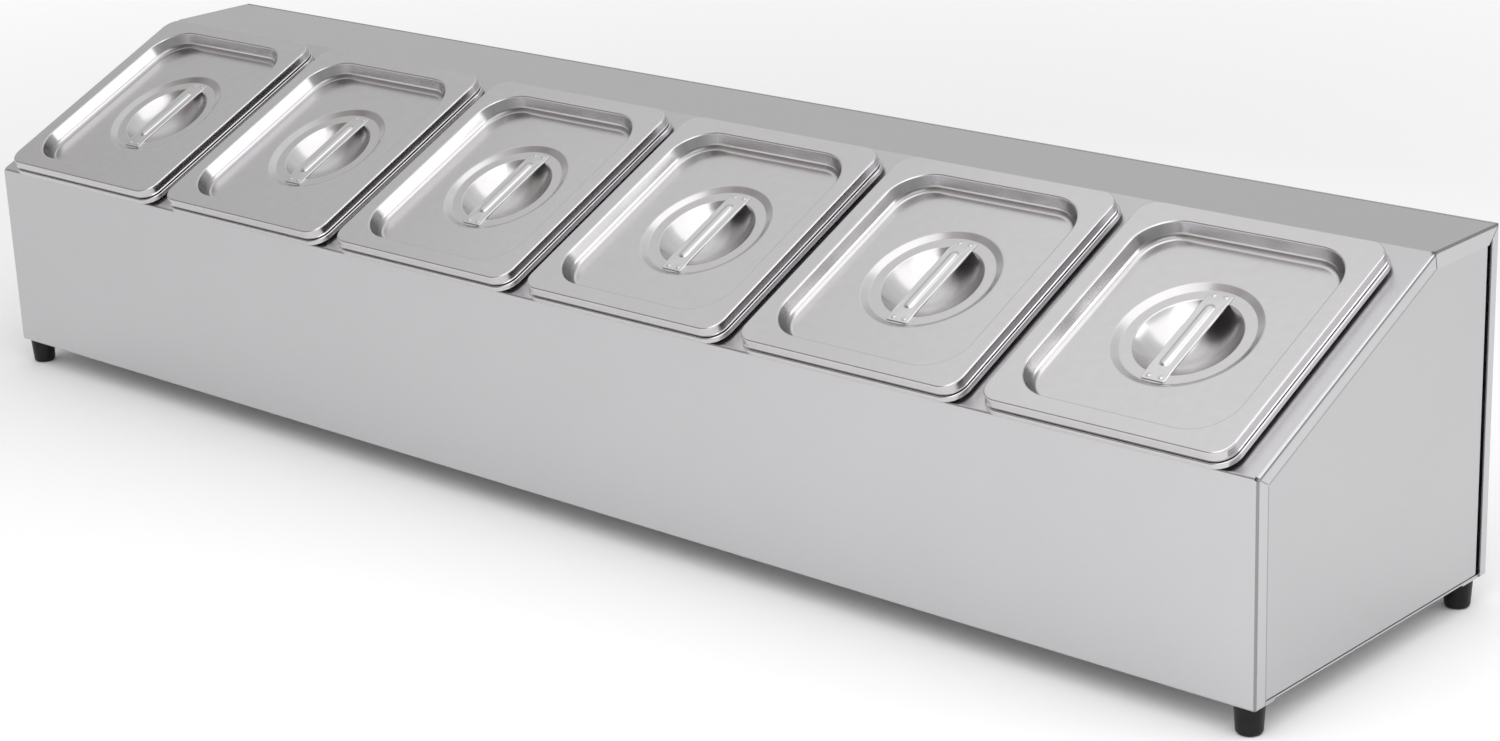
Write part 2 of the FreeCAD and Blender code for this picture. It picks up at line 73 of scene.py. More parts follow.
class Grain(Enum):
    """Direction of a sheet's polishing lines, as stretch along X, Y and Z."""

    ALONG_CASE = (1.0, 30.0, 30.0)
    ALONG_END = (30.0, 1.0, 30.0)
    NONE = (1.0, 1.0, 1.0)


# Nodes


def new_material(name: str) -> Material:
    """Make a node material with a shader.

    Args:
        name: Name of the material.

    Returns:
        The material.
    """
    material = bpy.data.materials.new(name)
    material.use_nodes = True
    return material


def feed(tree: Tree, entry: Socket, value: Socket | Tone | float) -> None:
    """Join a socket to an input, or set the input to a tone or a number.

    Args:
        tree: Tree of the nodes.
        entry: The input.
        value: What it gets.
    """
    if isinstance(value, Socket):
        tree.links.new(value, entry)
    else:
        entry.default_value = (*value, 1.0) if isinstance(value, tuple) else value


def dimmed(tone: Tone, share: float) -> Tone:
    """Scale a tone."""
    return tone[0] * share, tone[1] * share, tone[2] * share


def maths(tree: Tree, operation: str, *values: Socket | float) -> Socket:
    """Add a math node.

    Args:
        tree: Tree that gets the node.
        operation: Name of the operation.
        *values: Its inputs in order.

    Returns:
        The result's socket.
    """
    node = tree.nodes.new("ShaderNodeMath")
    node.operation = operation
    for entry, value in zip(node.inputs, values):
        feed(tree, entry, value)
    return node.outputs["Value"]


def along(tree: Tree, place: Socket, way: Vector) -> Socket:
    """Measure a place along a direction.

    Args:
        tree: Tree that gets the node.
        place: The place.
        way: The direction.

    Returns:
        The measure's socket.
    """
    node = tree.nodes.new("ShaderNodeVectorMath")
    node.operation = "DOT_PRODUCT"
    node.inputs[1].default_value = way
    feed(tree, node.inputs[0], place)
    return node.outputs["Value"]


def span(tree: Tree, value: Socket, start: float, end: float, low: float = 0.0, high: float = 1.0) -> Socket:
    """Turn a value between two limits into a number between two others, held past the limits.

    Args:
        tree: Tree that gets the node.
        value: The value.
        start: Value that gives the low number.
        end: Value that gives the high number.
        low: The low number.
        high: The high number.

    Returns:
        The number's socket.
    """
    node = tree.nodes.new("ShaderNodeMapRange")
    limits = {"From Min": start, "From Max": end, "To Min": low, "To Max": high}
    for label, limit in limits.items():
        node.inputs[label].default_value = limit
    feed(tree, node.inputs["Value"], value)
    return node.outputs["Result"]


def blend(tree: Tree, share: Socket, first: Socket | Tone, second: Socket | Tone) -> Socket:
    """Mix two colours.

    Args:
        tree: Tree that gets the node.
        share: Share of the second colour.
        first: The first colour.
        second: The second colour.

    Returns:
        The colour's socket.
    """
    node = tree.nodes.new("ShaderNodeMix")
    node.data_type = "RGBA"
    feed(tree, node.inputs["Factor"], share)
    feed(tree, node.inputs[MIX_FIRST], first)
    feed(tree, node.inputs[MIX_SECOND], second)
    return node.outputs[MIX_RESULT]


def ramp(tree: Tree, factor: Socket, stops: Sequence[tuple[float, Tone]]) -> Socket:
    """Turn a value into a colour.

    Args:
        tree: Tree that gets the node.
        factor: The value.
        stops: Values with their tones, in order.

    Returns:
        The colour's socket.
    """
    node = tree.nodes.new("ShaderNodeValToRGB")
    elements = node.color_ramp.elements
    for position, _ in stops[1:-1]:
        elements.new(position)
    for element, (position, tone) in zip(elements, stops):
        element.position, element.color = position, (*tone, 1.0)
    feed(tree, node.inputs["Fac"], factor)
    return node.outputs["Color"]


def object_place(tree: Tree) -> Socket:
    """Place on the object, in metres."""
    return tree.nodes.new("ShaderNodeTexCoord").outputs["Object"]


def noise(tree: Tree, scale: float, detail: float, grain: Grain = Grain.NONE) -> Socket:
    """Add a noise pattern on object coordinates.

    Args:
        tree: Tree that gets the nodes.
        scale: Pattern cells to the metre.
        detail: Octaves of finer noise.
        grain: Direction of the pattern.

    Returns:
        The pattern's socket.
    """
    mapping = tree.nodes.new("ShaderNodeMapping")
    mapping.inputs["Scale"].default_value = grain.value
    feed(tree, mapping.inputs["Vector"], object_place(tree))
    pattern = tree.nodes.new("ShaderNodeTexNoise")
    pattern.inputs["Scale"].default_value = scale
    pattern.inputs["Detail"].default_value = detail
    feed(tree, pattern.inputs["Vector"], mapping.outputs["Vector"])
    return pattern.outputs["Fac"]


def bump(tree: Tree, height: Socket, depth: float, under: Socket | None = None) -> Socket:
    """Add a bump from a height pattern.

    Args:
        tree: Tree that gets the node.
        height: The pattern.
        depth: Height of the full pattern, in millimetres.
        under: Normal that this bump is laid over, if any.

    Returns:
        The normal's socket.
    """
    node = tree.nodes.new("ShaderNodeBump")
    node.inputs["Strength"].default_value = 1.0
    node.inputs["Distance"].default_value = depth * MM
    feed(tree, node.inputs["Height"], height)
    if under is not None:
        feed(tree, node.inputs["Normal"], under)
    return node.outputs["Normal"]


def strip(tree: Tree, value: Socket, low: float, high: float) -> Socket:
    """Mask that is 1 where a coordinate lies between two limits."""
    return maths(tree, "COMPARE", value, (low + high) / 2.0, (high - low) / 2.0)


def inside(tree: Tree, boxes: Sequence[Sequence[tuple[Socket, float, float]]]) -> Socket:
    """Mask that is 1 inside any of some boxes.

    Args:
        tree: Tree that gets the nodes.
        boxes: Boxes, each as coordinates with their two limits.

    Returns:
        The mask's socket.
    """
    both = partial(maths, tree, "MULTIPLY")
    masks = [reduce(both, [strip(tree, *limits) for limits in box]) for box in boxes]
    return reduce(partial(maths, tree, "MAXIMUM"), masks)


def shown_rays(tree: Tree) -> Socket:
    """Mask of the rays from the camera, from reflections and through clear things."""
    path = tree.nodes.new("ShaderNodeLightPath").outputs
    shown = maths(tree, "MAXIMUM", path["Is Camera Ray"], path["Is Glossy Ray"])
    return maths(tree, "MAXIMUM", shown, path["Is Transmission Ray"])


# Finishes


@dataclass(frozen=True)
class PaintedBendShade:
    """Painted shade along the case's bends and painted shadow along the end flanges' edges, placed on object
    coordinates in metres.
    """

    end_x: float = 0.535
    front_y: float = -0.1154546
    fold_z: float = 0.145963
    top_z: float = 0.223809
    slope_deg: float = 25.0
    width: float = 0.0016
    margin: float = 0.0003
    slope_band: Point2 = (1.5, 0.6)
    shade: float = 0.5
    flange: float = 0.010
    flange_shadow_line: float = 0.0009
    flange_shadow_strength: float = 0.75

    def darken(self, tree: Tree, tone: Socket, colour: Tone) -> Socket:
        """Darken a tone with painted shade along the bends and painted shadow along the flange edges.

        Args:
            tree: Tree that gets the nodes.
            tone: Tone of the open sheet.
            colour: The sheet's mean colour.

        Returns:
            The colour's socket.
        """
        place = object_place(tree)
        split = tree.nodes.new("ShaderNodeSeparateXYZ")
        feed(tree, split.inputs["Vector"], place)
        x, y, z = split.outputs
        slope = math.radians(self.slope_deg)
        sine, cosine = math.sin(slope), math.cos(slope)
        normal = Vector((0.0, -sine, cosine))
        height = along(tree, place, normal)
        deck = normal.dot(Vector((0.0, self.front_y, self.fold_z)))
        past_end, past_front = self.end_x + self.margin, self.front_y - self.margin
        past_top = self.top_z + self.margin
        out = maths(tree, "ABSOLUTE", x)
        end = (out, past_end - self.width, past_end)
        edge = (out, past_end - self.width / 2.0, past_end)
        low, high = (deck - widths * self.width for widths in self.slope_band)
        # painted shade along the corner, top and slope bends
        bends = (
            (end, (y, past_front, past_front + self.width)),
            (end, (z, past_top - self.width, past_top)),
            (edge, (height, low, high)),
        )
        front, under = self.front_y + self.flange, deck - self.flange
        rise = self.top_z - self.flange - self.fold_z
        low_corner = self.fold_z + (self.flange * sine - self.flange) / cosine
        high_corner = self.front_y + (rise * cosine + self.flange) / sine
        # painted shadow along the end flanges' edges, fainter than the bend shade
        flanges = (
            (end, (y, front - self.flange_shadow_line, front), (z, 0.0, low_corner)),
            (end, (height, under, under + self.flange_shadow_line), (y, front, high_corner)),
        )
        fainter = maths(tree, "MULTIPLY", inside(tree, flanges), self.flange_shadow_strength)
        lines = maths(tree, "MAXIMUM", inside(tree, bends), fainter)
        return blend(tree, lines, tone, dimmed(colour, self.shade))


@dataclass(frozen=True)
class PaintedCornerShade:
    """Painted shade in the lid well's pressed corners, where a mesh attribute says so."""

    attribute: str = "painted_corner_shade"
    shade: float = 0.32

    def darken(self, tree: Tree, tone: Socket, colour: Tone) -> Socket:
        """Darken a tone with the painted corner shade.

        Args:
            tree: Tree that gets the nodes.
            tone: Tone of the open sheet.
            colour: The sheet's mean colour.

        Returns:
            The colour's socket.
        """
        mask = tree.nodes.new("ShaderNodeAttribute")
        mask.attribute_name = self.attribute
        return blend(tree, mask.outputs["Fac"], tone, dimmed(colour, self.shade))


@dataclass(frozen=True)
class SteelFinish:
    """Stainless steel with polishing lines, faint waviness, handling marks and, where set, painted shade."""

    name: str
    tone: Tone
    roughness: float
    grain: Grain = Grain.NONE
    roughness_spread: float = 0.02
    tone_spread: float = 0.015
    line_scale: float = 160.0
    line_detail: float = 4.0
    line_depth: float = 0.006
    mark_scale: float = 20.0
    mark_detail: float = 5.0
    wave_scale: float = 5.0
    wave_detail: float = 1.0
    wave_depth: float = 0.03
    # painted shade, if any, laid over the tone
    darkening: PaintedBendShade | PaintedCornerShade | None = None

    def build(self) -> Material:
        """Make the material.

        Returns:
            The new material.
        """
        material = new_material(self.name)
        tree = material.node_tree
        shader = tree.nodes["Principled BSDF"].inputs
        shader["Metallic"].default_value = 1.0
        lines = noise(tree, self.line_scale, self.line_detail, self.grain)
        tones = (dimmed(self.tone, 1.0 - self.tone_spread), dimmed(self.tone, 1.0 + self.tone_spread))
        tone = ramp(tree, lines, list(zip(NOISE_RANGE, tones)))
        # painted shade along bends or in corners
        if self.darkening is not None:
            tone = self.darkening.darken(tree, tone, self.tone)
        feed(tree, shader["Base Color"], tone)
        marks = noise(tree, self.mark_scale, self.mark_detail)
        smooth, rough = self.roughness - self.roughness_spread, self.roughness + self.roughness_spread
        feed(tree, shader["Roughness"], span(tree, marks, *NOISE_RANGE, smooth, rough))
        waves = bump(tree, noise(tree, self.wave_scale, self.wave_detail), self.wave_depth)
        feed(tree, shader["Normal"], bump(tree, lines, self.line_depth, waves))
        return material


@dataclass(frozen=True)
class RubberFinish:
    """Black moulded rubber with a fine matt grain and a dusty wear pattern."""

    name: str
    tone: Tone
    worn_tone: Tone
    roughness: float
    roughness_spread: float = 0.08
    grain_scale: float = 900.0
    grain_detail: float = 3.0
    grain_depth: float = 0.08
    wear_scale: float = 75.0
    wear_detail: float = 4.0
    gloss: float = 0.25

    def build(self) -> Material:
        """Make the material.

        Returns:
            The new material.
        """
        material = new_material(self.name)
        tree = material.node_tree
        shader = tree.nodes["Principled BSDF"].inputs
        shader["Metallic"].default_value = 0.0
        shader["Specular IOR Level"].default_value = self.gloss
        grain = noise(tree, self.grain_scale, self.grain_detail)
        wear = noise(tree, self.wear_scale, self.wear_detail)
        tones = list(zip(NOISE_RANGE, (self.tone, self.worn_tone)))
        feed(tree, shader["Base Color"], ramp(tree, wear, tones))
        smooth, rough = self.roughness - self.roughness_spread, self.roughness + self.roughness_spread
        feed(tree, shader["Roughness"], span(tree, grain, *NOISE_RANGE, smooth, rough))
        feed(tree, shader["Normal"], bump(tree, grain, self.grain_depth))
        return material


PRESSED_TONE = (0.612, 0.601, 0.610)
PRESSED_LINES = 0.0015
CASE_STEEL = SteelFinish(
    "case_satin_steel", (0.562, 0.556, 0.567), 0.30, Grain.ALONG_CASE, darkening=PaintedBendShade()
)
# the case's satin steel with grain along the ends, its tone darker as painted shade for the end panels' side
END_SHADED_STEEL = SteelFinish("end_satin_steel_painted_shade", (0.525, 0.523, 0.533), 0.30, Grain.ALONG_END)
PAN_STEEL = SteelFinish("pan_bright_steel", PRESSED_TONE, 0.20, line_depth=PRESSED_LINES)
LID_STEEL = SteelFinish(
    "lid_bright_steel", PRESSED_TONE, 0.20, line_depth=PRESSED_LINES, darkening=PaintedCornerShade()
)
HANDLE_STEEL = SteelFinish("handle_bright_steel", (0.67, 0.66, 0.667), 0.18)
# near-black copy of the handle steel for the strap's underside: painted shade, which the bowl mirrors as a
# dark patch
UNDERSIDE_SHADE_STEEL = SteelFinish("handle_underside_painted_shade", (0.09, 0.088, 0.088), 0.42)
FASTENER_STEEL = SteelFinish("fastener_steel", (0.55, 0.55, 0.54), 0.28, wave_depth=0.0)
FOOT_RUBBER = RubberFinish("foot_black_rubber", (0.004, 0.004, 0.0045), (0.011, 0.011, 0.0115), 0.42)


# Outlines and sheets


def filleted(corners: Sequence[Corner], steps: int = 7, hold: float = 0.35) -> list[Point2]:
    """Round the corners of an open outline.

    Args:
        corners: Points as (inset, level, radius), in millimetres.
        steps: Facets in each rounded corner.
        hold: Distance of the extra point beside each rounded corner.

    Returns:
        The points of the rounded outline.
    """
    flat = [Vector(corner[:2]) for corner in corners]
    points = [flat[0]]
    for index in range(1, len(corners) - 1):
        before = (flat[index - 1] - flat[index]).normalized()
        after = (flat[index + 1] - flat[index]).normalized()
        radius = corners[index][2]
        half = before.angle(after) / 2.0
        reach = radius / math.tan(half)
        bisector = (before + after).normalized()
        centre = flat[index] + bisector * (radius / math.sin(half))
        start = flat[index] + before * reach
        end = flat[index] + after * reach
        first, last = start - centre, end - centre
        turn = first.angle_signed(last)
        points.append(start + before * hold)
        points.extend(centre + Matrix.Rotation(-turn * step / steps, 2) @ first for step in range(steps + 1))
        points.append(end + after * hold)
    points.append(flat[-1])
    return [(point.x, point.y) for point in points]


def moved_aside(points: Sequence[Point2], distance: float) -> list[Point2]:
    """Offset an open outline to its right-hand side.

    Args:
        points: The outline.
        distance: Distance to move it.

    Returns:
        The moved outline, point for point.
    """
    flat = [Vector(point) for point in points]
    result = []
    for index, point in enumerate(flat):
        before = flat[index] - flat[index - 1] if index > 0 else flat[1] - flat[0]
        after = flat[index + 1] - point if index + 1 < len(flat) else before
        normals = [Vector((way.y, -way.x)).normalized() for way in (before, after)]
        mean = (normals[0] + normals[1]).normalized()
        moved = point + mean * (distance / mean.dot(normals[0]))
        result.append((moved.x, moved.y))
    return result


@dataclass(frozen=True)
class RoundedPlan:
    """Rectangle with round corners, drawn as rings of one fixed number of points."""

    width: float
    length: float
    radius: float
    corner_steps: int = 14
    side_steps: int = 8
    least_radius: float = 0.02

    def ring(self, inset: float, level: float) -> Ring:
        """Ring at an inset from the edge.

        Args:
            inset: Distance in from the edge.
            level: Height of the ring.

        Returns:
            The ring's points.
        """
        radius = max(self.radius - inset, self.least_radius)
        reach_x = self.width / 2.0 - inset - radius
        reach_y = self.length / 2.0 - inset - radius
        centres = [(reach_x, reach_y), (-reach_x, reach_y), (-reach_x, -reach_y), (reach_x, -reach_y)]
        arcs = []
        for quarter, centre in enumerate(centres):
            quarters = [quarter + step / self.corner_steps for step in range(self.corner_steps + 1)]
            angles = [math.pi / 2.0 * share for share in quarters]
            middle = Vector((*centre, level))
            arcs.append([middle + Vector((math.cos(a), math.sin(a), 0.0)) * radius for a in angles])
        points = []
        for arc, following in zip(arcs, arcs[1:] + arcs[:1]):
            points.extend(arc)
            for step in range(1, self.side_steps):
                points.append(arc[-1].lerp(following[0], step / self.side_steps))
        return points


@dataclass(frozen=True)
class RoundPlan:
    """Circle whose rings have as many points as those of a rounded plan."""

    count: int
    start_angle: float

    def ring(self, inset: float, level: float) -> Ring:
        """Ring at a negative radius, so that it grows inwards as an inset does.

        Args:
            inset: Minus the ring's radius.
            level: Height of the ring.

        Returns:
            The ring's points, or one point at the centre.
        """
        if inset > -CENTRE_RADIUS:
            return [Vector((0.0, 0.0, level))]
        angles = [self.start_angle + 2.0 * math.pi * step / self.count for step in range(self.count)]
        return [Vector((-inset * math.cos(a), -inset * math.sin(a), level)) for a in angles]


Plan = RoundedPlan | RoundPlan


def round_plan_for(plan: RoundedPlan) -> RoundPlan:
    """Circle plan whose points face those of a rounded plan."""
    count = len(plan.ring(0.0, 0.0))
    return RoundPlan(count, math.pi / 4.0 - math.pi * plan.corner_steps / count)


def bridge(mesh: BuiltMesh, rings: Sequence[Ring], closed: bool) -> None:
    """Join rings of points with faces, in order.

    Args:
        mesh: Mesh that gets the faces.
        rings: Rings of equal count, or of one point at a pole.
        closed: True to join the last ring to the first.
    """
    made = [[mesh.verts.new(point) for point in ring] for ring in rings]
    pairs = list(zip(made, made[1:] + made[:1])) if closed else list(zip(made, made[1:]))
    for low, high in pairs:
        count = max(len(low), len(high))
        for index in range(count):
            following = (index + 1) % count
            if len(low) == 1 and len(high) == 1:
                continue
            if len(high) == 1:
                mesh.faces.new((low[index], low[following], high[0]))
            elif len(low) == 1:
                mesh.faces.new((low[0], high[following], high[index]))
            else:
                mesh.faces.new((low[index], low[following], high[following], high[index]))


def sheet_rings(parts: Sequence[tuple[Plan, list[Point2]]], thickness: float) -> list[Ring]:
    """Rings round both faces of a pressed sheet.

    Args:
        parts: Plans with their outlines, from the sheet's outer edge to its centre.
        thickness: Thickness of the sheet.

    Returns:
        Rings of the upper face inwards, then of the lower face outwards.
    """
    upper, lower = [], []
    for plan, outline in parts:
        under = moved_aside(outline, thickness)
        if isinstance(plan, RoundPlan) and outline[-1][0] > -CENTRE_RADIUS:
            under[-1] = (0.0, under[-1][1])
        upper.extend(plan.ring(*point) for point in outline)
        lower.extend(plan.ring(*point) for point in under)
    return upper + lower[::-1]


def mesh_data(mesh: BuiltMesh, name: str) -> MeshData:
    """Turn a built mesh into mesh data whose faces look outwards.

    Args:
        mesh: Closed mesh, which is freed.
        name: Name of the data.

    Returns:
        The mesh data.
    """
    if mesh.calc_volume(signed=True) < 0.0:
        bmesh.ops.reverse_faces(mesh, faces=mesh.faces)
    data = bpy.data.meshes.new(name)
    mesh.to_mesh(data)
    mesh.free()
    return data


def finish_mesh(mesh: BuiltMesh, name: str, material: Material) -> Piece:
    """Turn a built mesh into a smooth shaded object with a material.

    Args:
        mesh: Closed mesh, which is freed.
        name: Name of the object.
        material: Its finish.

    Returns:
        The linked object.
    """
    bmesh.ops.remove_doubles(mesh, verts=mesh.verts, dist=MERGE_DISTANCE)
    bmesh.ops.dissolve_degenerate(mesh, edges=mesh.edges, dist=SLIVER_LENGTH)
    return object_for(mesh_data(mesh, name), name, material)


def linked(name: str, data: bpy.types.ID) -> Piece:
    """Put a new object in the scene.

    Args:
        name: Name of the object.
        data: Its mesh, lamp or camera.

    Returns:
        The object.
    """
    thing = bpy.data.objects.new(name, data)
    bpy.context.scene.collection.objects.link(thing)
    return thing


def object_for(data: MeshData, name: str, material: Material) -> Piece:
    """Link an object for a mesh, shaded smooth up to sharp edges.

    Args:
        data: The mesh.
        name: Name of the object.
        material: Its finish.

    Returns:
        The linked object.
    """
    data.shade_smooth()
    data.set_sharp_from_angle(angle=SHARP_ANGLE)
    data.materials.clear()
    data.materials.append(material)
    return linked(name, data)


@dataclass(frozen=True)
class Deck:
    """The sloped deck that carries the pans, and where each pan sits on it."""

    slope_deg: float = 25.0
    front_fold_y: float = -115.4546
    front_fold_z: float = 145.963
    pan_pitch: float = 175.6
    pan_count: int = 6
    pan_slope: float = 85.4

    def pan_x(self, number: int) -> float:
        """X of a pan's centre, numbered from 1 at the left."""
        return self.pan_pitch * (number - 1 - (self.pan_count - 1) / 2.0)

    def matrix(self, number: int, height: float) -> Matrix:
        """Place of a pan's own frame in the row frame.

        Args:
            number: Pan number from 1.
            height: Height over the deck sheet, in millimetres.

        Returns:
            Matrix from millimetres in the pan's frame to metres in the row frame.
        """
        fold = Matrix.Translation(Vector((0.0, self.front_fold_y, self.front_fold_z)) * MM)
        tilt = Matrix.Rotation(math.radians(self.slope_deg), 4, "X")
        seat = Matrix.Translation(Vector((self.pan_x(number), self.pan_slope, height)) * MM)
        return fold @ tilt @ seat @ Matrix.Scale(MM, 4)


@dataclass
class Pan:
    """Deep pan with a turned-down rim and a stacking shoulder."""

    deck: Deck
    rim_top: float = 5.2
    width: float = 162.0
    length: float = 176.0
    corner_radius: float = 13.0
    lip: float = 3.2
    lip_bend: float = 0.9
    mouth_width: float = 138.0
    mouth_length: float = 152.0
    mouth_radius: float = 27.0
    mouth_bend: float = 1.8
    wall_taper_deg: float = 3.5
    shoulder_depth: float = 22.0
    shoulder_step: float = 2.5
    shoulder_bend: float = 1.0
    depth: float = 99.2
    floor_radius: float = 12.0
    floor_run: float = 20.0
    middle_radius: float = 12.0
    sheet: float = 0.8

    def outlines(self) -> list[tuple[Plan, list[Point2]]]:
        """Upper face of the pan from its lip to its floor.

        Returns:
            Plans with their outlines.
        """
        rim = RoundedPlan(self.width, self.length, self.corner_radius)
        mouth = RoundedPlan(self.mouth_width, self.mouth_length, self.mouth_radius)
        taper = math.tan(math.radians(self.wall_taper_deg))
        shoulder = self.shoulder_depth * taper
        foot = self.shoulder_step + self.depth * taper
        lip = filleted([(0.0, -self.lip, 0.0), (0.0, 0.0, self.lip_bend), (SEAM_RUN, 0.0, 0.0)])
        wall = filleted([
            (-SEAM_RUN, 0.0, 0.0),
            (0.0, 0.0, self.mouth_bend),
            (shoulder, -self.shoulder_depth, self.shoulder_bend),
            (shoulder + self.shoulder_step, -self.shoulder_depth - self.shoulder_step, self.shoulder_bend),
            (foot, -self.depth, self.floor_radius),
            (foot + self.floor_run, -self.depth, 0.0),
        ])
        floor = [(-self.middle_radius, -self.depth), (0.0, -self.depth)]
        return [(rim, lip), (mouth, wall), (round_plan_for(mouth), floor)]

    def build(self, number: int, material: Material) -> Piece:
        """Make one pan in place.

        Args:
            number: Pan number from 1.
            material: Its finish.

        Returns:
            The pan.
        """
        mesh = bmesh.new()
        bridge(mesh, sheet_rings(self.outlines(), self.sheet), True)
        mesh.transform(self.deck.matrix(number, self.rim_top))
        piece = finish_mesh(mesh, f"pan_shell_{number}", material)
        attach(piece, f"pan_{number}_body")
        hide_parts(f"pan_{number}")
        return piece


@dataclass
class Lid:
    """Pressed lid with a skirt, a drafted well, a stepped ledge and a round bowl."""

    deck: Deck
    top: float = 12.2
    width: float = 159.6
    length: float = 173.6
    corner_radius: float = 11.8
    skirt: float = 7.0
    skirt_bend: float = 1.0
    hem: float = 0.5
    hem_rise: float = 1.7
    hem_lift: float = 1.1
    hem_bend: float = 0.4
    well_width: float = 136.0
    well_length: float = 150.0
    well_radius: float = 26.0
    well_depth: float = 9.5
    well_draft_deg: float = 20.0
    well_bend: float = 1.2
    floor_radius: float = 4.5
    floor_run: float = 8.0
    floor_reach: float = 52.0
    ledge_outer: float = 42.5
    ledge_radius: float = 38.0
    ledge_drop: float = 2.2
    ledge_top_bend: float = 3.0
    ledge_foot_bend: float = 2.0
    ledge_hold: float = 0.2
    bowl_radius: float = 31.0
    bowl_depth: float = 14.0
    bowl_lip: float = 1.2
    bowl_steps: int = 16
    sheet: float = 0.8
    corner_shade_from: float = 0.2
    corner_shade_past: float = 1.0

    @property
    def ledge_level(self) -> float:
        """Level of the ledge under the lid's top."""
        return -self.well_depth - self.ledge_drop

    def bowl_outline(self) -> list[Point2]:
        """Step, ledge, lip and bowl, from the well floor to the centre.

        Returns:
            Points as (minus radius, level).
        """
        sphere = (self.bowl_radius**2 + self.bowl_depth**2) / (2.0 * self.bowl_depth)
        centre = self.ledge_level - self.bowl_depth + sphere
        rim_angle = math.asin(self.bowl_radius / sphere)
        inner_angle = rim_angle - 2.0 * self.bowl_lip / sphere
        inner = (-sphere * math.sin(inner_angle), centre - sphere * math.cos(inner_angle), 0.0)
        outline = filleted([
            (-self.floor_reach, -self.well_depth, 0.0),
            (-self.ledge_outer, -self.well_depth, self.ledge_top_bend),
            (-self.ledge_radius, self.ledge_level, self.ledge_foot_bend),
            (-self.bowl_radius, self.ledge_level, self.bowl_lip),
            inner,
        ], hold=self.ledge_hold)
        for step in range(1, self.bowl_steps + 1):
            angle = inner_angle * (1.0 - step / self.bowl_steps)
            outline.append((-sphere * math.sin(angle), centre - sphere * math.cos(angle)))
        return outline

    def outlines(self) -> list[tuple[Plan, list[Point2]]]:
        """Upper face of the lid from its skirt to its bowl.

        Returns:
            Plans with their outlines.
        """
        edge = RoundedPlan(self.width, self.length, self.corner_radius)
        well = RoundedPlan(self.well_width, self.well_length, self.well_radius)
        foot = self.well_depth * math.tan(math.radians(self.well_draft_deg))
        skirt = filleted([
            (-self.hem, self.hem_lift - self.skirt, 0.0),
            (0.0, self.hem_rise - self.skirt, self.hem_bend),
            (0.0, 0.0, self.skirt_bend),
            (SEAM_RUN, 0.0, 0.0),
        ])
        wall = filleted([
            (-SEAM_RUN, 0.0, 0.0),
            (0.0, 0.0, self.well_bend),
            (foot, -self.well_depth, self.floor_radius),
            (foot + self.floor_run, -self.well_depth, 0.0),
        ])
        return [(edge, skirt), (well, wall), (round_plan_for(well), self.bowl_outline())]

    def corner_shade_share(self, point: Vector) -> float:
        """Strength of the painted corner shade at a point, which is full in the middle of the well wall's
        corners.

        Args:
            point: Point in the lid's own frame.

        Returns:
            The strength from 0 to 1.
        """
        past_x = abs(point.x) - self.well_width / 2.0 + self.well_radius
        past_y = abs(point.y) - self.well_length / 2.0 + self.well_radius
        inset = self.well_radius - math.hypot(past_x, past_y)
        foot = self.well_depth * math.tan(math.radians(self.well_draft_deg))
        if min(past_x, past_y) <= 0.0 or not self.corner_shade_from < inset < foot + self.corner_shade_past:
            return 0.0
        return math.sin(2.0 * math.atan2(past_y, past_x))

    def build(self, number: int, material: Material) -> Piece:
        """Make one lid in place.

        Args:
            number: Lid number from 1.
            material: Its finish.

        Returns:
            The lid.
        """
        mesh = bmesh.new()
        bridge(mesh, sheet_rings(self.outlines(), self.sheet), True)
        place = self.deck.matrix(number, self.top)
        mesh.transform(place)
        piece = finish_mesh(mesh, f"lid_shell_{number}", material)
        # painted shade in the well wall's corners, kept as a point attribute for the lid's finish
        marks = piece.data.attributes.new(PaintedCornerShade.attribute, "FLOAT", "POINT")
        to_lid = place.inverted()
        for vert, mark in zip(piece.data.vertices, marks.data):
            mark.value = self.corner_shade_share(to_lid @ vert.co)
        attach(piece, f"lid_{number}_body")
        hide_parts(f"lid_{number}")
        return piece


